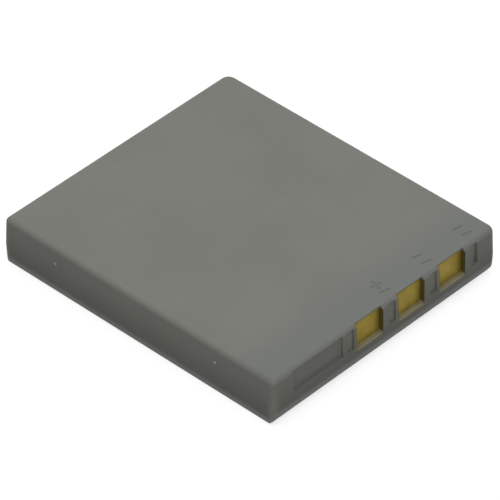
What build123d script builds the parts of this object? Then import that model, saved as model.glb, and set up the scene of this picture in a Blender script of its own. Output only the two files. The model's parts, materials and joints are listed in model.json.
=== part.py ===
from build123d import *
import math
import os

# Slim rechargeable camera battery with three recessed contacts.
# All lengths are in millimetres. X runs across the pack, Y along it and Z up.
# The origin is the centre of the bottom face, and the contacts look towards -Y.

os.makedirs("parts", exist_ok=True)

# Overall size
pack_width = 35.3
pack_length = 40.0
pack_height = 5.9

# Moulded walls of the case
side_wall = 0.6
contact_wall = 0.72
back_wall = 0.6
top_skin = 0.45
cover_skin = 0.45

# Draft of the walls, which lean in above and below their widest line
wall_draft = 2.5
widest_height = 2.4

# Rounded edges of the closed case
corner_radius_left = 0.8
corner_radius_right = 1.25
top_radius = 0.62
least_corner = 0.02
bottom_radius_left = 0.25
bottom_radius_front = 1.3
bottom_radius_back = 1.2
keyed_radius = 3.0
inner_corner_radius = 0.25
inner_top_radius = 0.2

# Seam between the tray and the cover
seat_ledge = 0.2
weld_gap = 0.04
tongue_height = 0.5
tongue_thickness = 0.26

# Contact windows, set out from the right side
contact_count = 3
contact_pitch = 6.52
last_window_inset = 7.3
window_width = 4.1
window_bottom = 2.45
window_skin = 0.2
window_setback = 0.55
sill_radius = 0.3

# Keying grooves and the long keying recess in the contact wall
key_depth = 0.38
key_bottom = 2.98
key_skin = 0.25
groove_width = 1.0
groove_land = 0.45
recess_land = 0.75
recess_side_gap = 3.2

# Gate marks left by the moulding on the left side
gate_mark_radius = 0.6
gate_mark_depth = 0.1
gate_pip_radius = 0.18
front_gate_inset = 9.7
front_gate_height = 3.3
back_gate_inset = 7.6
back_gate_height = 3.65

# Contact plates
contact_thickness = 0.3
contact_margin = 0.3
contact_corner = 0.3
pocket_gap = 0.04

# Protection board and the posts and rail that hold it
board_thickness = 0.6
board_end_gap = 0.85
board_top_gap = 0.1
board_corner = 0.8
rail_height = 0.3
rail_end_gap = 4.0
post_reach = 1.4
fit_gap = 0.03

# Cell
bay_depth = 3.2
tape_thickness = 0.1
end_pad_thickness = 0.5
cell_side_gap = 0.15
cell_edge_radius = 2.3
cell_end_radius = 0.5
cap_rim = 0.35
cap_recess = 0.15
plug_inset = 4.4
plug_radius = 0.7
plug_height = 0.25

# Centre terminal of the cell
gasket_length = 6.4
gasket_width = 3.0
gasket_corner = 0.75
gasket_thickness = 0.4
sleeve_radius = 1.0
sleeve_depth = 1.0
rivet_length = 5.0
rivet_width = 2.2
rivet_corner = 0.55
rivet_thickness = 0.5
shank_radius = 0.75

# Strips, weld plate and weld blocks
strip_width = 2.0
strip_thickness = 0.12
strip_bend = 0.35
strip_lap = 2.2
clad_inset = 6.7
clad_length = 3.6
clad_width = 3.0
clad_thickness = 0.25
weld_block_length = 2.4
weld_block_width = 2.2
weld_block_thickness = 0.3
positive_strip_step = 4.2
negative_strip_step = 2.2

# Insulating strip on the cap
insulator_thickness = 0.1
insulator_end_gap = 1.9
insulator_edge_gap = 0.25
insulator_corner = 1.2
insulator_clearance = 0.3

# Resetting breaker
fuse_length = 3.8
fuse_width = 2.6
fuse_thickness = 0.9
fuse_gap = 0.4
fuse_lead_length = 2.4
fuse_lead_thickness = 0.1

# Chips on the board
controller_length = 2.9
controller_width = 1.6
controller_thickness = 0.75
controller_pitch = 0.95
switch_x = 5.4
switch_length = 5.0
switch_width = 2.0
switch_thickness = 0.75
switch_pitch = 0.65
lead_width = 0.35
lead_reach = 0.5
lead_thickness = 0.12
chip_length = 1.6
chip_width = 0.8
resistor_thickness = 0.45
capacitor_thickness = 0.75
chip_edge = 0.08
chip_gap = 0.4
chip_row_offset = 1.2
filter_inset = 3.2
filter_step = 2.6

# Tape and foam
tape_width = 26.0
tape_length = 28.0
end_pad_width = 20.0
end_pad_height = 3.0

# Places that follow from the sizes above
half_width = pack_width / 2
front = -pack_length / 2
back = pack_length / 2
draft_slope = math.tan(math.radians(wall_draft))
lower_lean = widest_height * draft_slope
upper_lean = (pack_height - widest_height) * draft_slope
# The keyed edge meets the right wall above its widest line, so that wall is set out by what is lost
keyed_rise_loss = (keyed_radius - widest_height) * draft_slope
keyed_turn_loss = keyed_radius * (1 / math.cos(math.radians(wall_draft)) - 1)
right_face = half_width + keyed_rise_loss + keyed_turn_loss
# The lean makes the upright corners tighter at the top, and the top rounding stays within them
top_round = min(top_radius, corner_radius_left - upper_lean - least_corner)
inner_half_width = half_width - side_wall
inner_front = front + contact_wall
inner_back = back - back_wall
ceiling = pack_height - top_skin
window_top = pack_height - window_skin
window_skin_front = front + window_setback
sill_foot = window_bottom - 2 * sill_radius
first_window_x = half_width - last_window_inset - (contact_count - 1) * contact_pitch
window_places = [first_window_x + i * contact_pitch for i in range(contact_count)]
groove_step_back = window_width / 2 + groove_land + groove_width / 2
first_groove_x = first_window_x - groove_step_back
groove_places = [first_groove_x + i * contact_pitch for i in range(contact_count + 1)]
key_top = pack_height - key_skin
key_middle = (key_bottom + key_top) / 2
recess_start = -half_width + recess_side_gap
recess_end = first_groove_x - groove_width / 2 - recess_land
gate_mark_places = [
    (front + front_gate_inset, front_gate_height),
    (back - back_gate_inset, back_gate_height),
]
board_front = inner_front + contact_thickness
board_back = board_front + board_thickness
board_bottom = cover_skin + rail_height
board_top = ceiling - board_top_gap
board_middle = (board_bottom + board_top) / 2
board_half_width = inner_half_width - board_end_gap
post_bottom = keyed_radius + tongue_height + weld_gap + fit_gap
cell_front = inner_front + bay_depth
cell_back = inner_back - end_pad_thickness
cell_bottom = cover_skin + tape_thickness
cell_top = ceiling - tape_thickness
cell_middle = (cell_bottom + cell_top) / 2
cell_corner = min(cell_edge_radius, 0.48 * (cell_top - cell_bottom))
cell_half_width = inner_half_width - cell_side_gap
cell_centre_y = (cell_front + cell_back) / 2
cap_face = cell_front + cap_recess
gasket_face = cap_face - gasket_thickness
rivet_face = gasket_face - rivet_thickness
clad_face = cap_face - clad_thickness
insulator_face = cell_front - insulator_thickness
weld_block_face = board_back + weld_block_thickness
strip_bottom = cell_middle - strip_width / 2
plug_x = cell_half_width - plug_inset
clad_x = -cell_half_width + clad_inset
fuse_x = gasket_length / 2 + fuse_gap + fuse_length / 2
fuse_lead_start = fuse_x + fuse_length / 2
fuse_lead_end = fuse_lead_start + fuse_lead_length
fuse_lead_face = rivet_face - fuse_lead_thickness
positive_block_x = clad_x + positive_strip_step
negative_block_x = fuse_lead_end + negative_strip_step
chip_step = chip_gap + chip_length / 2
sense_resistor_x = switch_x - switch_length / 2 - chip_step
controller_x = sense_resistor_x - chip_step - controller_length / 2
surge_capacitor_x = switch_x + switch_length / 2 + chip_step
filter_capacitor_x = -board_half_width + filter_inset
filter_resistor_x = filter_capacitor_x + filter_step
upper_row = board_middle + chip_row_offset
lower_row = board_middle - chip_row_offset


def outline(low, high, radii):
    """Rectangle from low to high with its own corner radii, anticlockwise from low."""
    with BuildLine() as edge:
        FilletPolyline(
            (low[0], low[1]),
            (high[0], low[1]),
            (high[0], high[1]),
            (low[0], high[1]),
            radius=radii,
            close=True,
        )
    return edge.line


def upright(y):
    """Upright plane across the pack at y: X to the right, Z up, normal towards the contacts."""
    return Plane.XZ.offset(-y)


def inside_radius(outside_radius):
    """Radius of an upright inner corner behind a rounded outer one."""
    return max(outside_radius - side_wall, inner_corner_radius)


def save(builder, name):
    """Label a finished piece and write it to its own file."""
    builder.part.label = name
    export_step(builder.part, f"parts/{name}.step")


def drafted_half(plane, height):
    """One half of the case, standing on the widest line of its walls and leaning in from it."""
    with BuildPart() as half:
        with BuildSketch(plane):
            make_face(
                outline(
                    (-half_width, front),
                    (right_face, back),
                    [corner_radius_left, corner_radius_right, corner_radius_right, corner_radius_left],
                )
            )
        extrude(amount=height, taper=wall_draft)
    return half.part


# Outer form of the closed case
with BuildPart() as outer_form:
    widest_plane = Plane.XY.offset(widest_height)
    add(drafted_half(widest_plane, pack_height - widest_height))
    fillet(outer_form.faces().sort_by(Axis.Z)[-1].edges(), radius=top_round)
    add(drafted_half(-widest_plane, widest_height))
    # End view, with the keyed edge at the lower right
    with BuildSketch(Plane.XZ):
        with BuildLine():
            FilletPolyline(
                (-half_width + lower_lean, 0),
                (right_face + lower_lean, 0),
                (right_face - upper_lean, pack_height),
                (-half_width + upper_lean, pack_height),
                (-half_width, widest_height),
                radius=[bottom_radius_left, keyed_radius, 0, 0, 0],
                close=True,
            )
        make_face()
    extrude(amount=pack_length, both=True, mode=Mode.INTERSECT)
    # Side view, with the rounded lower edges of the two end walls
    with BuildSketch(Plane.YZ):
        with BuildLine():
            FilletPolyline(
                (front + lower_lean, 0),
                (back - lower_lean, 0),
                (back, widest_height),
                (back - upper_lean, pack_height),
                (front + upper_lean, pack_height),
                (front, widest_height),
                radius=[bottom_radius_front, bottom_radius_back, 0, 0, 0, 0],
                close=True,
            )
        make_face()
    extrude(amount=pack_width, both=True, mode=Mode.INTERSECT)

# Space inside the case
with BuildPart() as inner_form:
    with BuildSketch(Plane.XY.offset(cover_skin)):
        make_face(
            outline(
                (-inner_half_width, inner_front),
                (inner_half_width, inner_back),
                [
                    inside_radius(corner_radius_left),
                    inside_radius(corner_radius_right),
                    inside_radius(corner_radius_right),
                    inside_radius(corner_radius_left),
                ],
            )
        )
    extrude(amount=ceiling - cover_skin)
    fillet(inner_form.faces().sort_by(Axis.Z)[-1].edges(), radius=inner_top_radius)
    with BuildSketch(Plane.XZ):
        make_face(
            outline(
                (-inner_half_width, cover_skin),
                (inner_half_width, ceiling),
                [0, keyed_radius - side_wall, 0, 0],
            )
        )
    extrude(amount=pack_length, both=True, mode=Mode.INTERSECT)


def cover_zone(gap):
    """Room that the cover takes out of the case's walls, grown sideways by gap."""
    plate_low_x = -inner_half_width - seat_ledge - gap
    plate_low_y = inner_front - seat_ledge - gap
    plate_high_y = inner_back + seat_ledge + gap
    curl_low_x = half_width - keyed_radius
    tongue_low_x = inner_half_width
    tongue_high_x = inner_half_width + tongue_thickness + gap
    with BuildPart() as zone:
        with BuildSketch(Plane.XY):
            with Locations(((plate_low_x + half_width) / 2, (plate_low_y + plate_high_y) / 2)):
                Rectangle(half_width - plate_low_x, plate_high_y - plate_low_y)
        extrude(amount=cover_skin)
        with BuildSketch(Plane.XY):
            with Locations(((curl_low_x + half_width) / 2, (inner_front + inner_back) / 2)):
                Rectangle(keyed_radius, inner_back - inner_front - 2 * weld_gap + 2 * gap)
        extrude(amount=keyed_radius + gap)
        with BuildSketch(Plane.XY):
            with Locations(((tongue_low_x + tongue_high_x) / 2, (inner_front + inner_back) / 2)):
                Rectangle(
                    tongue_high_x - tongue_low_x,
                    inner_back - inner_front - 2 * corner_radius_right - 2 * weld_gap + 2 * gap,
                )
        extrude(amount=keyed_radius + tongue_height + gap)
    return zone.part


# Tray: top skin and four walls in one moulding, open below for the cover
with BuildPart() as main_case:
    add(outer_form.part)
    add(inner_form.part, mode=Mode.SUBTRACT)
    add(cover_zone(weld_gap), mode=Mode.SUBTRACT)
    # Posts that the board leans on and that keep it off the cell
    with BuildSketch(Plane.XY.offset(post_bottom)):
        post_length = cell_front - board_back - 2 * fit_gap
        with Locations(
            (-inner_half_width + post_reach / 2, (board_back + cell_front) / 2),
            (inner_half_width - post_reach / 2, (board_back + cell_front) / 2),
        ):
            Rectangle(post_reach, post_length)
    extrude(amount=ceiling - post_bottom)
    # Windows in front of the contact plates, each with a rounded sill and the top skin set back
    for x in window_places:
        with BuildSketch(Plane.YZ.offset(x - window_width / 2)):
            with BuildLine():
                FilletPolyline(
                    (front - sill_radius, sill_foot),
                    (front, sill_foot),
                    (front, window_bottom),
                    (inner_front, window_bottom),
                    (inner_front, window_top),
                    (window_skin_front, window_top),
                    (window_skin_front, pack_height),
                    (front - sill_radius, pack_height),
                    radius=[0, 0, sill_radius, 0, 0, 0, 0, 0],
                    close=True,
                )
            make_face()
        extrude(amount=window_width, mode=Mode.SUBTRACT)
    # Pockets in the top skin for the upper ends of the contact plates
    with BuildSketch(upright(board_front + pocket_gap)):
        for x in window_places:
            with Locations((x, (cell_middle + window_top) / 2)):
                Rectangle(
                    window_width + 2 * contact_margin + 2 * pocket_gap,
                    window_top - cell_middle,
                )
    extrude(amount=contact_thickness + pocket_gap, mode=Mode.SUBTRACT)
    # Keying grooves and the long keying recess
    with BuildSketch(upright(front + key_depth)):
        for x in groove_places:
            with Locations((x, key_middle)):
                Rectangle(groove_width, key_top - key_bottom)
        with Locations(((recess_start + recess_end) / 2, key_middle)):
            Rectangle(recess_end - recess_start, key_top - key_bottom)
    extrude(amount=key_depth, mode=Mode.SUBTRACT)
    # Gate marks: shallow dimples on the left side, each with a pip in its middle
    with BuildSketch(Plane.YZ.offset(-half_width)):
        with Locations(*gate_mark_places):
            Circle(gate_mark_radius)
            Circle(gate_pip_radius, mode=Mode.SUBTRACT)
    extrude(amount=gate_mark_depth, mode=Mode.SUBTRACT)
save(main_case, "main_case")

# Cover: bottom skin with the keyed edge curled up to the tray's right wall
with BuildPart() as bottom_cover:
    add(cover_zone(0))
    add(outer_form.part, mode=Mode.INTERSECT)
    add(inner_form.part, mode=Mode.SUBTRACT)
    # Rail under the board
    with BuildSketch(Plane.XY.offset(cover_skin)):
        with Locations((0, (board_front + board_back) / 2)):
            Rectangle(2 * (board_half_width - rail_end_gap), board_thickness)
    extrude(amount=rail_height)
save(bottom_cover, "bottom_cover")

# Contact plates
contact_names = ["contact_positive", "contact_signal", "contact_negative"]
contact_low = window_bottom - contact_margin
contact_high = window_top - pocket_gap
for name, x in zip(contact_names, window_places):
    with BuildPart() as contact:
        with BuildSketch(upright(board_front)):
            with Locations((x, (contact_low + contact_high) / 2)):
                RectangleRounded(
                    window_width + 2 * contact_margin,
                    contact_high - contact_low,
                    contact_corner,
                )
        extrude(amount=contact_thickness)
    save(contact, name)

# Protection board, its lower corners cut clear of the keyed edge
with BuildPart() as circuit_board:
    with BuildSketch(upright(board_back)):
        with Locations((0, board_middle)):
            board_outline = Rectangle(2 * board_half_width, board_top - board_bottom)
        chamfer(board_outline.vertices().group_by(Axis.Y)[0], length=board_corner)
    extrude(amount=board_thickness)
save(circuit_board, "circuit_board")

# Cell: drawn can with a welded cap, a fill plug and a blind seat for the centre terminal
with BuildPart() as cell_can:
    with BuildSketch(upright(cell_back)):
        make_face(
            outline(
                (-cell_half_width, cell_bottom),
                (cell_half_width, cell_top),
                [cell_corner] * 4,
            )
        )
    extrude(amount=cell_back - cell_front)
    fillet(cell_can.faces().sort_by(Axis.Y)[-1].edges(), radius=cell_end_radius)
    with BuildSketch(upright(cap_face)):
        make_face(
            outline(
                (-cell_half_width + cap_rim, cell_bottom + cap_rim),
                (cell_half_width - cap_rim, cell_top - cap_rim),
                [cell_corner - cap_rim] * 4,
            )
        )
    extrude(amount=cap_recess, mode=Mode.SUBTRACT)
    with BuildSketch(upright(cap_face)):
        with Locations((plug_x, cell_middle)):
            Circle(plug_radius)
    extrude(amount=plug_height)
    with BuildSketch(upright(cap_face)):
        with Locations((0, cell_middle)):
            Circle(sleeve_radius + fit_gap)
    extrude(amount=-(sleeve_depth + fit_gap), mode=Mode.SUBTRACT)
save(cell_can, "cell_can")

# Gasket: flange on the cap and sleeve through it
with BuildPart() as cell_gasket:
    with BuildSketch(upright(cap_face)):
        with Locations((0, cell_middle)):
            RectangleRounded(gasket_length, gasket_width, gasket_corner)
    extrude(amount=gasket_thickness)
    with BuildSketch(upright(cap_face)):
        with Locations((0, cell_middle)):
            Circle(sleeve_radius)
    extrude(amount=-sleeve_depth)
    with BuildSketch(upright(gasket_face)):
        with Locations((0, cell_middle)):
            Circle(shank_radius + fit_gap)
    extrude(amount=-(gasket_thickness + sleeve_depth), mode=Mode.SUBTRACT)
save(cell_gasket, "cell_gasket")

# Rivet: head on the gasket and shank down its sleeve
with BuildPart() as cell_rivet:
    with BuildSketch(upright(gasket_face)):
        with Locations((0, cell_middle)):
            RectangleRounded(rivet_length, rivet_width, rivet_corner)
    extrude(amount=rivet_thickness)
    with BuildSketch(upright(gasket_face)):
        with Locations((0, cell_middle)):
            Circle(shank_radius)
    extrude(amount=-(gasket_thickness + sleeve_depth))
save(cell_rivet, "cell_rivet")

# Weld plate on the cap
with BuildPart() as clad_plate:
    with BuildSketch(upright(cap_face)):
        with Locations((clad_x, cell_middle)):
            Rectangle(clad_length, clad_width)
    extrude(amount=clad_thickness)
save(clad_plate, "clad_plate")

# Insulating strip on the can's rim, cut out round the terminal and the weld plate
with BuildPart() as head_insulator:
    with BuildSketch(upright(cell_front)):
        with Locations((0, cell_middle)):
            RectangleRounded(
                2 * (cell_half_width - insulator_end_gap),
                cell_top - cell_bottom - 2 * insulator_edge_gap,
                insulator_corner,
            )
            RectangleRounded(
                gasket_length + 2 * insulator_clearance,
                gasket_width + 2 * insulator_clearance,
                gasket_corner + insulator_clearance,
                mode=Mode.SUBTRACT,
            )
        with Locations((clad_x, cell_middle)):
            Rectangle(
                clad_length + 2 * insulator_clearance,
                clad_width + 2 * insulator_clearance,
                mode=Mode.SUBTRACT,
            )
        with Locations((plug_x, cell_middle)):
            Circle(plug_radius + insulator_clearance, mode=Mode.SUBTRACT)
    extrude(amount=insulator_thickness)
save(head_insulator, "head_insulator")

# Breaker: moulded body on the insulator with a flat lead at each end
with BuildPart() as thermal_fuse:
    with BuildSketch(upright(insulator_face)):
        with Locations((fuse_x, cell_middle)):
            Rectangle(fuse_length, fuse_width)
    extrude(amount=fuse_thickness)
    with BuildSketch(upright(rivet_face)):
        with Locations((fuse_x, cell_middle)):
            Rectangle(fuse_length + 2 * fuse_lead_length, strip_width)
    extrude(amount=fuse_lead_thickness)
save(thermal_fuse, "thermal_fuse")


def nickel_strip(start_x, start_face, end_x, end_face, lap):
    """Strip that lies on start_face, lap long, and slopes to lie on end_face at the board."""
    start_line = start_face - strip_thickness / 2
    end_line = end_face + strip_thickness / 2
    with BuildPart() as strip:
        with BuildSketch(Plane.XY.offset(strip_bottom)):
            with BuildLine():
                FilletPolyline(
                    (start_x, start_line),
                    (start_x + lap, start_line),
                    (end_x - lap, end_line),
                    (end_x, end_line),
                    radius=strip_bend,
                )
            trace(line_width=strip_thickness)
        extrude(amount=strip_width)
    return strip


# Nickel strips from the weld plate and from the breaker to the board
positive_tab = nickel_strip(
    clad_x - clad_length / 2 + insulator_clearance,
    clad_face,
    positive_block_x + weld_block_length / 2,
    weld_block_face,
    strip_lap,
)
save(positive_tab, "positive_tab")
negative_tab = nickel_strip(
    fuse_lead_start + insulator_clearance,
    fuse_lead_face,
    negative_block_x + weld_block_length / 2,
    weld_block_face,
    strip_lap,
)
save(negative_tab, "negative_tab")

# Weld blocks soldered to the board
for name, x in [
    ("positive_weld_block", positive_block_x),
    ("negative_weld_block", negative_block_x),
]:
    with BuildPart() as weld_block:
        with BuildSketch(upright(weld_block_face)):
            with Locations((x, cell_middle)):
                Rectangle(weld_block_length, weld_block_width)
        extrude(amount=weld_block_thickness)
    save(weld_block, name)


def leaded_chip(x, length, width, thickness, pitch, count):
    """Chip on the back of the board, with count leads along each of its two long sides."""
    with BuildPart() as chip:
        with BuildSketch(upright(board_back + thickness)):
            with Locations((x, board_middle)):
                Rectangle(length, width)
        extrude(amount=thickness)
        chamfer(chip.faces().sort_by(Axis.Y)[-1].edges(), length=chip_edge)
        with BuildSketch(upright(board_back + lead_thickness)):
            with Locations((x, board_middle)):
                with GridLocations(pitch, pitch, count, 1):
                    Rectangle(lead_width, width + 2 * lead_reach)
        extrude(amount=lead_thickness)
    return chip


def end_capped_chip(x, z, thickness):
    """Small two-ended chip on the back of the board."""
    with BuildPart() as chip:
        with BuildSketch(upright(board_back + thickness)):
            with Locations((x, z)):
                Rectangle(chip_length, chip_width)
        extrude(amount=thickness)
        fillet(chip.edges().filter_by(Axis.Y), radius=chip_edge)
    return chip


# Chips on the back of the board
protection_ic = leaded_chip(
    controller_x, controller_length, controller_width, controller_thickness, controller_pitch, 3
)
save(protection_ic, "protection_ic")
dual_mosfet = leaded_chip(
    switch_x, switch_length, switch_width, switch_thickness, switch_pitch, 4
)
save(dual_mosfet, "dual_mosfet")
for name, x, z, thickness in [
    ("thermistor", surge_capacitor_x, lower_row, resistor_thickness),
    ("filter_resistor", filter_resistor_x, board_middle, resistor_thickness),
    ("sense_resistor", sense_resistor_x, upper_row, resistor_thickness),
    ("filter_capacitor", filter_capacitor_x, board_middle, capacitor_thickness),
    ("surge_capacitor", surge_capacitor_x, upper_row, capacitor_thickness),
]:
    save(end_capped_chip(x, z, thickness), name)

# Double-sided tape above and below the cell
for name, bottom in [("upper_tape", cell_top), ("lower_tape", cover_skin)]:
    with BuildPart() as tape:
        with BuildSketch(Plane.XY.offset(bottom)):
            with Locations((0, cell_centre_y)):
                Rectangle(tape_width, tape_length)
        extrude(amount=tape_thickness)
    save(tape, name)

# Foam strip between the cell and the back wall
with BuildPart() as end_pad:
    with BuildSketch(upright(inner_back)):
        with Locations((0, cell_middle)):
            Rectangle(end_pad_width, end_pad_height)
    extrude(amount=end_pad_thickness)
save(end_pad, "end_pad")
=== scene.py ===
import json
import math

import bmesh
import bpy
from mathutils import Matrix, Vector


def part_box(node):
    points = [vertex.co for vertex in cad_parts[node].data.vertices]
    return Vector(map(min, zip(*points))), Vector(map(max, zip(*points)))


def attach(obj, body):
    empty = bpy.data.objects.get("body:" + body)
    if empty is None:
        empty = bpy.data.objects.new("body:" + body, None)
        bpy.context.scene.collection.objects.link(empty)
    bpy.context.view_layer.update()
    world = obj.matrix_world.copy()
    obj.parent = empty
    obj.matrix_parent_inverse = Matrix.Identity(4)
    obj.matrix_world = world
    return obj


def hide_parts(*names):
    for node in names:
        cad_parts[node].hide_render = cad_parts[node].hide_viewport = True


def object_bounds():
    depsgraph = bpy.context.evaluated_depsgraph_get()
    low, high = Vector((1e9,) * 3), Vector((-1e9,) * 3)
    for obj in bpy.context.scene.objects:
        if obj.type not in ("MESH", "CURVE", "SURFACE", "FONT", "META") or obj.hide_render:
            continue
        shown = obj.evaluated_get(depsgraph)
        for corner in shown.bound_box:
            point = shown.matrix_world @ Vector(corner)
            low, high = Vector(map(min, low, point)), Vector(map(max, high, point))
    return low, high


MM = 0.001

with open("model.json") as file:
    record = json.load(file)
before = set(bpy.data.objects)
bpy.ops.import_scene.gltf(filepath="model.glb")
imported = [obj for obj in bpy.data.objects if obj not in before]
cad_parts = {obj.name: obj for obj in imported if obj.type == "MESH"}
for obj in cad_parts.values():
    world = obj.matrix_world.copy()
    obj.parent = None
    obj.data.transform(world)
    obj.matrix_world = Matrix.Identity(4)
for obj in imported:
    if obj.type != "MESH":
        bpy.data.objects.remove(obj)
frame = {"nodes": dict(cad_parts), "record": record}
cad_low, cad_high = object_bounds()
nodes = frame["nodes"]

# Camera: where it stands, in millimetres and degrees, and what it sees
CAMERA_AZIMUTH = -46.6
CAMERA_ELEVATION = 39.74
CAMERA_ROLL = -0.15
CAMERA_DISTANCE = 543.3
CAMERA_RAISED = 1.55
SENSOR = 36.0
FOCAL_LENGTH = 361.98
NEAREST_SEEN = 10.0
FARTHEST_SEEN = 10000.0

# Stage: a floor of white paper and a white sky, with lengths in metres. Each lamp points at the
# origin, and has its place, its width and height, and its power in watts
FLOOR_REACH = 2.0
FLOOR_BOUNCE = (0.22, 0.22, 0.22, 1)
FLOOR_SEEN = (0.36, 0.36, 0.36, 1)
FLOOR_GLOW = 0.75
WHITE = (1, 1, 1, 1)
SKY_STRENGTH = 0.16
LAMPS = {
    "overhead": ((0, 0.05, 0.8), (0.9, 0.9), 5.75),
    "front": ((-0.52, -0.56, 0.3), (0.6, 0.6), 2.45),
    "back": ((0.52, 0.52, 0.26), (0.5, 0.5), 1.1),
}

# Contact plates, and how far each reaches behind its window's edges, in millimetres
CONTACTS = ("contact_positive", "contact_signal", "contact_negative")
PLATE_MARGIN = 0.3

# Signs sunk into the top skin beside the contacts, in millimetres and degrees: an upper row by
# its places in x, and a dash below each
SIGN_DEPTH = 0.04
SIGN_TOOL_HEIGHT = 4 * SIGN_DEPTH
SIGN_STROKE = 0.34
SIGN_TILT = -11.0
SIGN_END_STEPS = 6
PLUS = {"span": 1.55, "arms": 4}
DASH = {"span": 1.35, "arms": 2}
UPPER_SIGNS = {1.42: PLUS, 7.97: DASH, 14.47: DASH}
UPPER_SIGN_Y = -16.95
LOWER_SIGN_Y = -18.24

# Outer walls, in millimetres: they lean in by the draft above and below their widest line. A
# flat whose normal rises or falls by more than the steepest lean isn't such a wall
WALL_DRAFT = math.radians(2.5)
STEEPEST_LEAN = math.sin(1.5 * WALL_DRAFT)
WIDEST_HEIGHT = 2.4
UPPER_REACH = 2.88
LOWER_REACH = 2.15

# Gate marks on the left wall, in millimetres along and up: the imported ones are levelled, and
# each mark is a pip in a shallow dimple
PACKED_MARKS = [(-10.3, 3.3), (12.4, 3.65)]
PACKED_MARK_REACH = 0.65
PACKED_MARK_DEPTH = 0.2
GATE_MARKS = [(-11.57, 3.98), (11.98, 3.95)]
DIMPLE_RADIUS = 0.5
DIMPLE_DEPTH = 0.035
PIP_RADIUS = 0.24
PIP_HEIGHT = 0.06
TOOL_REACH = 0.1
TURN_STEPS = 24

# Corners of a mesh that lie nearer than this, in millimetres, are one
WELD_REACH = 0.0005

# Shading: the turn under which faces lie in one plane, the turn of a sharp edge, and the
# width in millimetres from which a flat region is a face of its own and not part of a rounding
ONE_PLANE = math.radians(0.05)
SHARP_EDGE = math.radians(28.0)
FLAT_WIDTH = 0.7

# Where the case is tinted, and where painted shade and painted light fall on it, in millimetres.
# Four places say where a tint starts, is full, begins to fade and is gone, and two are the first
# or the last pair of them. Depths are counted from the contact end, levels from the floor of a
# sign, and margins from the edge of a window
WINDOW_MARGINS = (0.02, 0.05)
WINDOW_ROW_EDGE = 0.1
WINDOW_DEPTHS = (0.005, 0.15)
PLATE_EDGE = 0.1
WINDOW_HEIGHTS = (1.75, 1.9, 5.5, 5.6)
SILL_HEIGHTS = (2.5, 2.7)
GROOVE_DEPTHS = (0.3, 0.36, 0.4, 0.44)
GROOVE_SPAN = (-14.5, -14.4, 14.0, 14.1)
GROOVE_HEIGHTS = (2.9, 3.0, 5.6, 5.7)
RECESS_END = (-7.2, -7.1)
SIGN_LEVELS = (-0.03, -0.01, 0.01, 0.03)
SIGN_ROWS = (-19.1, -19.0, -16.0, -15.9)
BAND_ROWS = (-17.5, -12.5)
BAND_HEIGHTS = (5.5, 5.85)
FOOT_SHADE_HEIGHTS = (0.8, 5.2)
CORNER_HEIGHTS = (5.2, 5.6)

# Painted light: a paler rim along the foot of the walls, in millimetres: it stands higher at the
# contact end, by a lift that fades between two depths
RIM_HEIGHTS = (0.45, 1.15)
FRONT_RIM_LIFT = 0.8
FRONT_RIM_DEPTHS = (0.1, 0.6)

# Painted sheen on the upright corners, in millimetres: the sheen starts and is full where x and y
# together fall this far short of a sharp corner's
CORNER_START = 1.1
CORNER_FULL = 0.5

# Share of a pip's radius over which its painted highlight is full
PIP_CORE = 0.6

# Case colours and gold colours, as linear values
CASE_COLOUR = (0.176, 0.178, 0.157, 1)
CASE_DARKER = (0.164, 0.167, 0.148, 1)
BAND_COLOUR = (0.150, 0.157, 0.147, 1)
# Painted shade: the walls darken towards the floor
FOOT_SHADE_COLOUR = (0.110, 0.112, 0.095, 1)
# Painted shade on the window jambs, warmed by painted gold bounce light
JAMB_SHADE_COLOUR = (0.08, 0.062, 0.012, 1)
# Painted light: the gold's yellow bounce on the window sills
SILL_LIGHT_COLOUR = (0.235, 0.215, 0.13, 1)
# Painted light along the foot of the walls
RIM_LIGHT_COLOUR = (0.213, 0.213, 0.205, 1)
# Painted sheen on the upright corners
CORNER_SHEEN_COLOUR = (0.185, 0.187, 0.165, 1)
# Painted light on the shaded floors of the recess and of the grooves
RECESS_LIGHT_COLOUR = (0.172, 0.174, 0.158, 1)
GROOVE_LIGHT_COLOUR = (0.225, 0.225, 0.195, 1)
# Painted shade on the floors of the sunk signs
SIGN_SHADE_COLOUR = (0.143, 0.149, 0.139, 1)
# Painted highlight on the gate marks' pips
PIP_HIGHLIGHT_COLOUR = (0.34, 0.34, 0.31, 1)
GOLD_COLOUR = (0.31, 0.231, 0.028, 1)
GOLD_DARKER = (0.27, 0.196, 0.02, 1)

# Sockets of a Mix node in its colour mode: the two colours and the result
MIX_FIRST = 6
MIX_SECOND = 7
MIX_RESULT = 2

# Parts of a noise's range over which a look changes: the wide one gives soft changes
WIDE_RANGE = (0.3, 0.7)
NARROW_RANGE = (0.35, 0.65)


def set_inputs(node, **values):
    """Sets a node's sockets by name, with _ for a space."""
    for name, value in values.items():
        node.inputs[name.replace("_", " ")].default_value = value
    return node


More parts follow.
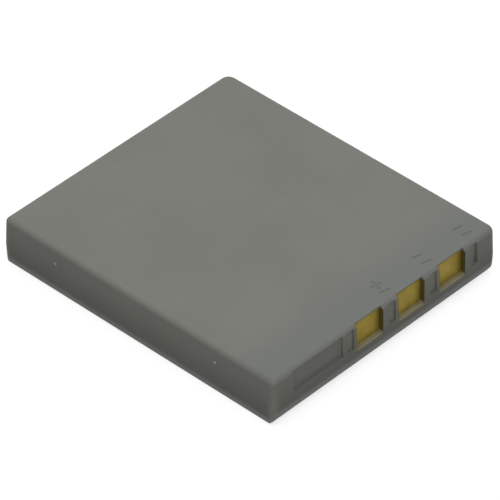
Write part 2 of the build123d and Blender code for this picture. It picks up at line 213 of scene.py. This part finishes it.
class Look:
    """A material's node tree, with short ways to add and join nodes."""

    def __init__(self, name, **shader_values):
        self.material = bpy.data.materials.new(name)
        self.material.use_nodes = True
        self.tree = self.material.node_tree
        self.shader = self.tree.nodes["Principled BSDF"]
        set_inputs(self.shader, **shader_values)
        self.coordinates = self.add("ShaderNodeTexCoord").outputs["Object"]

    def add(self, kind, **settings):
        """A new node of this kind, with its settings."""
        node = self.tree.nodes.new(kind)
        for name, value in settings.items():
            setattr(node, name, value)
        return node

    def join(self, output, target):
        """Links an output to another node's input."""
        self.tree.links.new(output, target)

    def noise(self, per_mm, detail=2.0, roughness=0.5, stretch=(1, 1, 1)):
        """Noise with about per_mm features to the millimetre."""
        mapping = self.add("ShaderNodeMapping")
        mapping.inputs["Scale"].default_value = [per_mm / MM * share for share in stretch]
        self.join(self.coordinates, mapping.inputs["Vector"])
        noise = set_inputs(
            self.add("ShaderNodeTexNoise"), Scale=1.0, Detail=detail, Roughness=roughness
        )
        self.join(mapping.outputs["Vector"], noise.inputs["Vector"])
        return noise.outputs["Fac"]

    def spread(self, value, low, high, to_low=0.0, to_high=1.0):
        """Maps value from low..high to to_low..to_high, smoothly and clamped."""
        node = self.add("ShaderNodeMapRange", interpolation_type="SMOOTHSTEP")
        set_inputs(node, From_Min=low, From_Max=high, To_Min=to_low, To_Max=to_high)
        self.join(value, node.inputs["Value"])
        return node.outputs["Result"]

    def rise(self, value, start, full, origin=0.0):
        """0 up to start and 1 from full on, in millimetres from an origin in metres."""
        return self.spread(value, origin + start * MM, origin + full * MM)

    def fade(self, value, full, gone, origin=0.0):
        """1 up to full and 0 from gone on, in millimetres from an origin in metres."""
        return self.spread(value, origin + full * MM, origin + gone * MM, 1.0, 0.0)

    def within(self, value, places, origin=0.0):
        """Rises from 0 to 1 between the first two places and fades between the last two."""
        start, full, fading, gone = places
        return self.product(
            self.rise(value, start, full, origin), self.fade(value, fading, gone, origin)
        )

    def calculate(self, operation, first, second):
        """Works out one number from two, each given as a value or as an output."""
        node = self.add("ShaderNodeMath", operation=operation)
        for socket, value in zip(node.inputs, (first, second)):
            if isinstance(value, bpy.types.NodeSocket):
                self.join(value, socket)
            else:
                socket.default_value = value
        return node.outputs[0]

    def product(self, first, *others):
        """Multiplies outputs together."""
        for other in others:
            first = self.calculate("MULTIPLY", first, other)
        return first

    def mix(self, factor, first, second):
        """Mixes two colours, each given as a value or as an output."""
        node = self.add("ShaderNodeMix", data_type="RGBA")
        self.join(factor, node.inputs[0])
        for place, colour in ((MIX_FIRST, first), (MIX_SECOND, second)):
            socket = node.inputs[place]
            if isinstance(colour, bpy.types.NodeSocket):
                self.join(colour, socket)
            else:
                socket.default_value = colour
        return node.outputs[MIX_RESULT]

    def colour(self, output):
        """Gives the surface this colour."""
        self.join(output, self.shader.inputs["Base Color"])

    def roughness(self, value, low, high):
        """Lets the roughness follow a noise, between low and high."""
        self.join(self.spread(value, *WIDE_RANGE, low, high), self.shader.inputs["Roughness"])

    def bump(self, height, distance):
        """Adds relief to the surface, distance deep in millimetres."""
        node = set_inputs(self.add("ShaderNodeBump"), Distance=distance * MM)
        self.join(height, node.inputs["Height"])
        self.join(node.outputs["Normal"], self.shader.inputs["Normal"])


def window_mask(look, x, y, z):
    """1 on the inner walls of the contact windows, where shade and the gold's bounced light are
    painted, and 0 elsewhere.
    """
    plates = [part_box(node) for node in CONTACTS]
    middles = sorted((low.x + high.x) / 2 for low, high in plates)
    half_pitch = (middles[1] - middles[0]) / MM / 2
    half_window = (plates[0][1].x - plates[0][0].x) / MM / 2 - PLATE_MARGIN
    plate_depth = (plates[0][0].y - cad_low.y) / MM
    row_end = (2 * len(middles) - 1) * half_pitch
    along = look.calculate("SUBTRACT", x, middles[0])
    aside = look.calculate("PINGPONG", along, half_pitch * MM)
    row = (-half_pitch, WINDOW_ROW_EDGE - half_pitch, row_end - WINDOW_ROW_EDGE, row_end)
    return look.product(
        look.fade(aside, *(half_window + margin for margin in WINDOW_MARGINS)),
        look.within(along, row),
        look.within(y, (*WINDOW_DEPTHS, plate_depth, plate_depth + PLATE_EDGE), cad_low.y),
        look.within(z, WINDOW_HEIGHTS),
    )


def groove_light_mask(look, x, y, z):
    """1 on the floors of the keying grooves and of the long recess, which painted light brightens,
    and 0 elsewhere.
    """
    return look.product(
        look.within(y, GROOVE_DEPTHS, cad_low.y),
        look.within(x, GROOVE_SPAN),
        look.within(z, GROOVE_HEIGHTS),
    )


def sign_shade_mask(look, y, z):
    """1 on the sunk floors of the signs, where shade is painted, and 0 elsewhere."""
    floor_z = cad_high.z - SIGN_DEPTH * MM
    return look.product(look.within(z, SIGN_LEVELS, floor_z), look.within(y, SIGN_ROWS))


def rim_light_mask(look, y, z):
    """Where light is painted: 1 along the lowest edge of the walls, fading upwards; it stands
    higher on the front wall.
    """
    start, end = (cad_low.y + depth * MM for depth in FRONT_RIM_DEPTHS)
    lift = look.spread(y, start, end, FRONT_RIM_LIFT * MM, 0.0)
    return look.fade(look.calculate("SUBTRACT", z, lift), *RIM_HEIGHTS)


def corner_sheen_mask(look, x, y, z):
    """1 on the upright rounded corners, where a sheen is painted, and 0 elsewhere."""
    aside = look.calculate("ABSOLUTE", x, 0.0)
    along = look.calculate("ABSOLUTE", y, 0.0)
    outward = look.calculate("ADD", aside, along)
    upright = look.rise(outward, -CORNER_START, -CORNER_FULL, cad_high.x + cad_high.y)
    return look.product(upright, look.fade(z, *CORNER_HEIGHTS))


def pip_highlight_mask(look, mark):
    """1 on the pip of one gate mark, where a highlight is painted, and 0 elsewhere."""
    away = look.add("ShaderNodeVectorMath", operation="DISTANCE")
    look.join(look.coordinates, away.inputs[0])
    away.inputs[1].default_value = (cad_low.x, *(length * MM for length in mark))
    return look.fade(away.outputs["Value"], PIP_CORE * PIP_RADIUS, PIP_RADIUS)


def case_look():
    """Matte grey-green moulding with a fine spark-eroded grain, tinted by place, with painted
    shade and painted light laid into its colour.
    """
    look = Look("case_plastic", Specular_IOR_Level=0.15)
    cloud = look.spread(look.noise(per_mm=0.12, detail=3.0), *NARROW_RANGE)
    plastic = look.mix(cloud, CASE_DARKER, CASE_COLOUR)
    place = look.add("ShaderNodeSeparateXYZ")
    look.join(look.coordinates, place.inputs[0])
    x, y, z = place.outputs
    band = look.product(look.fade(y, *BAND_ROWS), look.rise(z, *BAND_HEIGHTS))
    sunk_light_colour = look.mix(look.rise(x, *RECESS_END), RECESS_LIGHT_COLOUR, GROOVE_LIGHT_COLOUR)
    inside_window = window_mask(look, x, y, z)
    sill = look.product(inside_window, look.fade(z, *SILL_HEIGHTS))
    # Painted shade darkens the feet of the walls, the window jambs and the sunk signs; painted
    # light brightens the wall rims, the upright corners, the recess and groove floors, the window
    # sills and the pips
    for mask, colour in (
        (band, BAND_COLOUR),
        (look.fade(z, *FOOT_SHADE_HEIGHTS), FOOT_SHADE_COLOUR),
        (corner_sheen_mask(look, x, y, z), CORNER_SHEEN_COLOUR),
        (rim_light_mask(look, y, z), RIM_LIGHT_COLOUR),
        (groove_light_mask(look, x, y, z), sunk_light_colour),
        (inside_window, JAMB_SHADE_COLOUR),
        (sill, SILL_LIGHT_COLOUR),
        (sign_shade_mask(look, y, z), SIGN_SHADE_COLOUR),
        *((pip_highlight_mask(look, mark), PIP_HIGHLIGHT_COLOUR) for mark in GATE_MARKS),
    ):
        plastic = look.mix(mask, plastic, colour)
    look.colour(plastic)
    grain = look.noise(per_mm=6.0, detail=3.0, roughness=0.6)
    look.roughness(grain, low=0.44, high=0.58)
    look.bump(grain, distance=0.025)
    return look.material


def gold_look():
    """Satin gold plate over nickel, with faint marks from the plating bath."""
    look = Look("gold_plate", Metallic=0.6)
    cloud = look.spread(look.noise(per_mm=0.8, detail=3.0), *NARROW_RANGE)
    look.colour(look.mix(cloud, GOLD_DARKER, GOLD_COLOUR))
    fine = look.noise(per_mm=5.0, stretch=(1, 1, 0.4))
    look.roughness(fine, low=0.5, high=0.62)
    look.bump(fine, distance=0.004)
    return look.material


def metal_look(name, darker, paler, roughness, stretch=(1, 1, 1)):
    """Metal with a drawn or rolled grain along stretch's short direction."""
    look = Look(name, Metallic=1.0)
    cloud = look.spread(look.noise(per_mm=0.6), *WIDE_RANGE)
    look.colour(look.mix(cloud, darker, paler))
    grain = look.noise(per_mm=3.0, detail=3.0, stretch=stretch)
    look.roughness(grain, *roughness)
    look.bump(grain, distance=0.003)
    return look.material


def resin_look(name, darker, paler, roughness, grain_per_mm=4.0, relief=0.006):
    """Moulded resin, laminate, film or foam with its own grain, and relief in millimetres."""
    look = Look(name)
    cloud = look.spread(look.noise(per_mm=1.0, detail=3.0), *NARROW_RANGE)
    look.colour(look.mix(cloud, darker, paler))
    grain = look.noise(grain_per_mm, detail=3.0)
    look.roughness(grain, *roughness)
    look.bump(grain, distance=relief)
    return look.material


LOOKS = {
    "case_plastic": case_look(),
    "gold_plate": gold_look(),
    "cell_aluminium": metal_look(
        "cell_aluminium",
        (0.68, 0.69, 0.7, 1),
        (0.75, 0.76, 0.77, 1),
        roughness=(0.28, 0.42),
        stretch=(1, 0.05, 1),
    ),
    "nickel_plate": metal_look(
        "nickel_plate", (0.6, 0.58, 0.53, 1), (0.68, 0.66, 0.62, 1), roughness=(0.2, 0.34)
    ),
    "nickel_strip": metal_look(
        "nickel_strip",
        (0.55, 0.54, 0.5, 1),
        (0.62, 0.6, 0.57, 1),
        roughness=(0.26, 0.4),
        stretch=(0.05, 1, 1),
    ),
    "gasket_plastic": resin_look(
        "gasket_plastic",
        (0.025, 0.025, 0.025, 1),
        (0.035, 0.035, 0.035, 1),
        roughness=(0.45, 0.6),
    ),
    "insulating_film": resin_look(
        "insulating_film",
        (0.5, 0.56, 0.44, 1),
        (0.58, 0.63, 0.52, 1),
        roughness=(0.4, 0.55),
        grain_per_mm=2.0,
        relief=0.004,
    ),
    "board_laminate": resin_look(
        "board_laminate",
        (0.012, 0.12, 0.045, 1),
        (0.02, 0.17, 0.065, 1),
        roughness=(0.3, 0.42),
        grain_per_mm=3.0,
    ),
    "chip_resin": resin_look(
        "chip_resin",
        (0.018, 0.018, 0.02, 1),
        (0.026, 0.026, 0.028, 1),
        roughness=(0.5, 0.65),
        grain_per_mm=8.0,
    ),
    "chip_ceramic": resin_look(
        "chip_ceramic",
        (0.3, 0.22, 0.14, 1),
        (0.4, 0.3, 0.2, 1),
        roughness=(0.45, 0.6),
        grain_per_mm=8.0,
        relief=0.005,
    ),
    "breaker_resin": resin_look(
        "breaker_resin",
        (0.04, 0.04, 0.042, 1),
        (0.06, 0.06, 0.062, 1),
        roughness=(0.4, 0.55),
        grain_per_mm=5.0,
    ),
    "tape_film": resin_look(
        "tape_film",
        (0.68, 0.67, 0.6, 1),
        (0.78, 0.77, 0.7, 1),
        roughness=(0.45, 0.6),
        grain_per_mm=2.0,
        relief=0.005,
    ),
    "foam": resin_look(
        "foam",
        (0.045, 0.045, 0.045, 1),
        (0.07, 0.07, 0.07, 1),
        roughness=(0.8, 0.95),
        grain_per_mm=5.0,
        relief=0.05,
    ),
}


def dress_nodes():
    """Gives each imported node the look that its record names."""
    for row in frame["record"]["subparts"]:
        mesh = nodes[row["node"]].data
        mesh.materials.clear()
        mesh.materials.append(LOOKS[row["material_slot"]])


def new_object(name, data):
    """An object with this data, in the scene."""
    piece = bpy.data.objects.new(name, data)
    bpy.context.scene.collection.objects.link(piece)
    return piece


def solid_object(name, body):
    """An object with the solids of a bmesh, which is freed."""
    bmesh.ops.recalc_face_normals(body, faces=body.faces)
    mesh = bpy.data.meshes.new(name)
    body.to_mesh(mesh)
    body.free()
    return new_object(name, mesh)


def weld(mesh):
    """Joins the corners that lie on each other and drops the faces that have no area."""
    body = bmesh.new()
    body.from_mesh(mesh)
    bmesh.ops.remove_doubles(body, verts=body.verts, dist=WELD_REACH * MM)
    bmesh.ops.dissolve_degenerate(body, edges=body.edges, dist=WELD_REACH * MM)
    body.to_mesh(mesh)
    body.free()


def welded_copy(node, name):
    """A copy of a node's mesh as one closed shell, for a piece that stands for it."""
    mesh = nodes[node].data.copy()
    mesh.name = name
    weld(mesh)
    return new_object(name, mesh)


def add_sign(body, centre, span, arms):
    """Adds a dash of two arms or a plus of four, standing through the top skin's face."""
    half_stroke = SIGN_STROKE / 2
    reach = span / 2 - half_stroke
    gap = 2 * math.pi / arms
    crotch_distance = half_stroke / math.sin(gap / 2)
    points = []
    for arm in range(arms):
        heading = math.radians(SIGN_TILT) + arm * gap
        crotch = heading - gap / 2
        points.append((crotch_distance * math.cos(crotch), crotch_distance * math.sin(crotch)))
        for i in range(SIGN_END_STEPS + 1):
            angle = heading - math.pi / 2 + math.pi * i / SIGN_END_STEPS
            points.append(
                (
                    reach * math.cos(heading) + half_stroke * math.cos(angle),
                    reach * math.sin(heading) + half_stroke * math.sin(angle),
                )
            )
    floor_z = cad_high.z / MM - SIGN_DEPTH
    corners = [Vector((centre[0] + x, centre[1] + y, floor_z)) for x, y in points]
    face = body.faces.new([body.verts.new(corner * MM) for corner in corners])
    grown = bmesh.ops.extrude_face_region(body, geom=[face])
    raised = [part for part in grown["geom"] if isinstance(part, bmesh.types.BMVert)]
    bmesh.ops.translate(body, verts=raised, vec=(0, 0, SIGN_TOOL_HEIGHT * MM))


def sign_cutter():
    """The signs as solids: a plus and two dashes, each above a dash of its own."""
    body = bmesh.new()
    for x, upper in UPPER_SIGNS.items():
        add_sign(body, (x, UPPER_SIGN_Y), **upper)
        add_sign(body, (x, LOWER_SIGN_Y), **DASH)
    return solid_object("sign_cutter", body)


def level_packed_marks(piece):
    """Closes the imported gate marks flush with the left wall."""
    body = bmesh.new()
    body.from_mesh(piece.data)
    outer = cad_low.x + PACKED_MARK_DEPTH * MM
    for mark in PACKED_MARKS:
        inside = {
            vert
            for vert in body.verts
            if vert.co.x < outer
            and math.dist((vert.co.y / MM, vert.co.z / MM), mark) < PACKED_MARK_REACH
        }
        sunk = [face for face in body.faces if inside.issuperset(face.verts)]
        bmesh.ops.delete(body, geom=sunk, context="FACES")
    rims = [edge for edge in body.edges if edge.is_boundary]
    bmesh.ops.holes_fill(body, edges=rims, sides=0)
    body.to_mesh(piece.data)
    body.free()


def add_turned(body, foot, outward, profile):
    """Adds a solid turned about outward at foot, from (radius, height) points in millimetres."""
    along = Vector((0, 1, 0))
    upward = outward.cross(along)
    rings = []
    for radius, height in profile:
        ring = []
        for i in range(TURN_STEPS if radius else 1):
            angle = 2 * math.pi * i / TURN_STEPS
            spoke = radius * (math.cos(angle) * along + math.sin(angle) * upward)
            ring.append(body.verts.new((foot + height * outward + spoke) * MM))
        rings.append(ring)
    for first, second in zip(rings, rings[1:]):
        for i in range(TURN_STEPS):
            around = ((first, i), (first, i + 1), (second, i + 1), (second, i))
            corners = [ring[place % len(ring)] for ring, place in around]
            body.faces.new(list(dict.fromkeys(corners)))


def gate_tool(name, profile):
    """One turned solid at each gate mark, square to the left wall."""
    body = bmesh.new()
    outward = Vector((-math.cos(WALL_DRAFT), 0, math.sin(WALL_DRAFT)))
    for y, z in GATE_MARKS:
        wall = cad_low.x / MM + (z - WIDEST_HEIGHT) * math.tan(WALL_DRAFT)
        add_turned(body, Vector((wall, y, z)), outward, profile)
    return solid_object(name, body)


def bulge(radius, height, steps=6):
    """The points of a shallow dome, from its top to its rim."""
    return [(radius * i / steps, height * (1 - (i / steps) ** 2)) for i in range(steps + 1)]


def mark_gates(piece):
    """Makes the gate marks: a shallow dimple with a pip in its middle."""
    dimple = bulge(DIMPLE_RADIUS, -DIMPLE_DEPTH) + [(DIMPLE_RADIUS, TOOL_REACH), (0, TOOL_REACH)]
    pip = bulge(PIP_RADIUS, PIP_HEIGHT) + [(PIP_RADIUS, -TOOL_REACH), (0, -TOOL_REACH)]
    cut(piece, gate_tool("dimple_cutter", dimple))
    cut(piece, gate_tool("pips", pip), "UNION")


def cut(piece, cutter, operation="DIFFERENCE"):
    """Takes a cutter out of a piece, or joins it on."""
    boolean = piece.modifiers.new("cut", "BOOLEAN")
    boolean.operation = operation
    boolean.solver = "EXACT"
    boolean.object = cutter
    settle(piece)
    bpy.data.objects.remove(cutter)


def settle(piece):
    """Applies a piece's modifiers to its mesh."""
    graph = bpy.context.evaluated_depsgraph_get()
    graph.update()
    mesh = bpy.data.meshes.new_from_object(piece.evaluated_get(graph))
    piece.modifiers.clear()
    piece.data = mesh


def flat_faces(body):
    """The faces of each wide flat region: the narrow strips of a rounding are left out."""
    wide = set()
    seen = set()
    for start in body.faces:
        if start in seen:
            continue
        seen.add(start)
        region = [start]
        rim = 0.0
        for face in region:
            for edge in face.edges:
                if edge.calc_face_angle(math.pi) > ONE_PLANE:
                    rim += edge.calc_length()
                    continue
                for other in edge.link_faces:
                    if other not in seen:
                        seen.add(other)
                        region.append(other)
        # A long strip's width is twice its area over its rim
        area = sum(face.calc_area() for face in region)
        if 2 * area > FLAT_WIDTH * MM * rim:
            wide.update(region)
    return wide


def flat_normal(face, corner):
    """A flat's normal at a corner: a drafted wall turns gently from its widest line outwards."""
    lean = face.normal.z
    if abs(lean) > STEEPEST_LEAN:
        return face.normal
    reach = UPPER_REACH if lean > 0 else LOWER_REACH
    share = min(abs(corner.z / MM - WIDEST_HEIGHT) / reach, 1.0)
    return Vector((face.normal.x, face.normal.y, lean * share)).normalized()


def corner_normal(loop, wide):
    """The normal at a face's corner: its own on a flat, its neighbours' mean on a rounding."""
    if loop.face in wide:
        return flat_normal(loop.face, loop.vert.co)
    fan = [loop.face]
    for face in fan:
        for edge in face.edges:
            if loop.vert in edge.verts and edge.calc_face_angle(math.pi) < SHARP_EDGE:
                fan.extend(other for other in edge.link_faces if other not in fan)
    flats = [face for face in fan if face in wide]
    total = Vector()
    for face in flats or fan:
        normal = flat_normal(face, loop.vert.co) if flats else face.normal
        total += normal * face.calc_area()
    return total.normalized() if total.length else loop.face.normal


def smooth(piece):
    """Smooth shading round the roundings, with each flat face kept flat up to its edges."""
    mesh = piece.data
    body = bmesh.new()
    body.from_mesh(mesh)
    body.normal_update()
    wide = flat_faces(body)
    normals = [corner_normal(loop, wide).copy() for face in body.faces for loop in face.loops]
    body.free()
    mesh.polygons.foreach_set("use_smooth", [True] * len(mesh.polygons))
    mesh.normals_split_custom_set(normals)


def finished(piece, node, slot):
    """Makes a piece stand for a node, with its look and its place in the frame."""
    piece.data.materials.clear()
    piece.data.materials.append(LOOKS[slot])
    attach(piece, "root")
    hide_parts(node)


def build_case():
    """The tray, with its gate marks and signs, and the cover that closes it."""
    case = welded_copy("main_case", "tray")
    level_packed_marks(case)
    mark_gates(case)
    cut(case, sign_cutter())
    weld(case.data)
    smooth(case)
    finished(case, "main_case", "case_plastic")
    cover = welded_copy("bottom_cover", "cover")
    smooth(cover)
    finished(cover, "bottom_cover", "case_plastic")


def build_contacts():
    """The plates behind the windows."""
    for node in CONTACTS:
        plate = welded_copy(node, node.replace("contact", "plate"))
        smooth(plate)
        finished(plate, node, "gold_plate")


def seen_directly(tree):
    """1 where the camera, a reflection or a refraction looks, and 0 for light that bounces."""
    path = tree.nodes.new("ShaderNodeLightPath")
    seen = path.outputs["Is Camera Ray"]
    for way in ("Is Glossy Ray", "Is Transmission Ray"):
        either = tree.nodes.new("ShaderNodeMath")
        either.operation = "MAXIMUM"
        tree.links.new(seen, either.inputs[0])
        tree.links.new(path.outputs[way], either.inputs[1])
        seen = either.outputs[0]
    return seen


def build_floor():
    """A white floor that looks brighter than the light it throws back on the battery."""
    mesh = bpy.data.meshes.new("floor")
    ways = ((-1, -1), (1, -1), (1, 1), (-1, 1))
    corners = [(x * FLOOR_REACH, y * FLOOR_REACH, 0) for x, y in ways]
    mesh.from_pydata(corners, [], [(0, 1, 2, 3)])
    floor = new_object("floor", mesh)
    material = bpy.data.materials.new("floor_paper")
    material.use_nodes = True
    tree = material.node_tree
    shader = set_inputs(tree.nodes["Principled BSDF"], Roughness=1.0, Specular_IOR_Level=0.0)
    mix = tree.nodes.new("ShaderNodeMix")
    mix.data_type = "RGBA"
    direct = seen_directly(tree)
    tree.links.new(direct, mix.inputs[0])
    mix.inputs[MIX_FIRST].default_value = FLOOR_BOUNCE
    mix.inputs[MIX_SECOND].default_value = FLOOR_SEEN
    tree.links.new(mix.outputs[MIX_RESULT], shader.inputs["Base Color"])
    shader.inputs["Emission Color"].default_value = WHITE
    glow = set_inputs(tree.nodes.new("ShaderNodeMapRange"), To_Max=FLOOR_GLOW)
    tree.links.new(direct, glow.inputs["Value"])
    tree.links.new(glow.outputs["Result"], shader.inputs["Emission Strength"])
    mesh.materials.append(material)


def build_world():
    """A white sky that lights the battery only faintly."""
    world = bpy.data.worlds.new("studio")
    bpy.context.scene.world = world
    world.use_nodes = True
    tree = world.node_tree
    background = set_inputs(tree.nodes["Background"], Color=WHITE)
    strength = set_inputs(tree.nodes.new("ShaderNodeMapRange"), To_Min=SKY_STRENGTH)
    tree.links.new(seen_directly(tree), strength.inputs["Value"])
    tree.links.new(strength.outputs["Result"], background.inputs["Strength"])


def add_lamp(name, place, size, power):
    """A rectangular softbox that points at the origin."""
    data = bpy.data.lights.new(name, "AREA")
    data.shape = "RECTANGLE"
    data.size, data.size_y = size
    data.energy = power
    lamp = new_object(name, data)
    lamp.location = place
    lamp.rotation_mode = "QUATERNION"
    lamp.rotation_quaternion = (Vector() - Vector(place)).to_track_quat("-Z", "Y")


def build_camera():
    """The camera, turned about the middle of the battery's bottom face."""
    azimuth, elevation, roll = (
        math.radians(turn) for turn in (CAMERA_AZIMUTH, CAMERA_ELEVATION, CAMERA_ROLL)
    )
    flat = math.cos(elevation)
    back = Vector((flat * math.sin(azimuth), -flat * math.cos(azimuth), math.sin(elevation)))
    level = Vector((math.cos(azimuth), math.sin(azimuth), 0))
    upward = back.cross(level)
    right = math.cos(roll) * level + math.sin(roll) * upward
    up = -math.sin(roll) * level + math.cos(roll) * upward
    eye = (CAMERA_DISTANCE * back + CAMERA_RAISED * up) * MM
    data = bpy.data.cameras.new("camera")
    data.sensor_width = SENSOR
    data.lens = FOCAL_LENGTH
    data.clip_start = NEAREST_SEEN * MM
    data.clip_end = FARTHEST_SEEN * MM
    camera = new_object("camera", data)
    camera.matrix_world = Matrix.Translation(eye) @ Matrix((right, up, back)).transposed().to_4x4()
    bpy.context.scene.camera = camera


dress_nodes()
build_case()
build_contacts()
build_floor()
build_world()
for name, settings in LAMPS.items():
    add_lamp(name, *settings)
build_camera()
bpy.context.scene.view_settings.view_transform = "Standard"
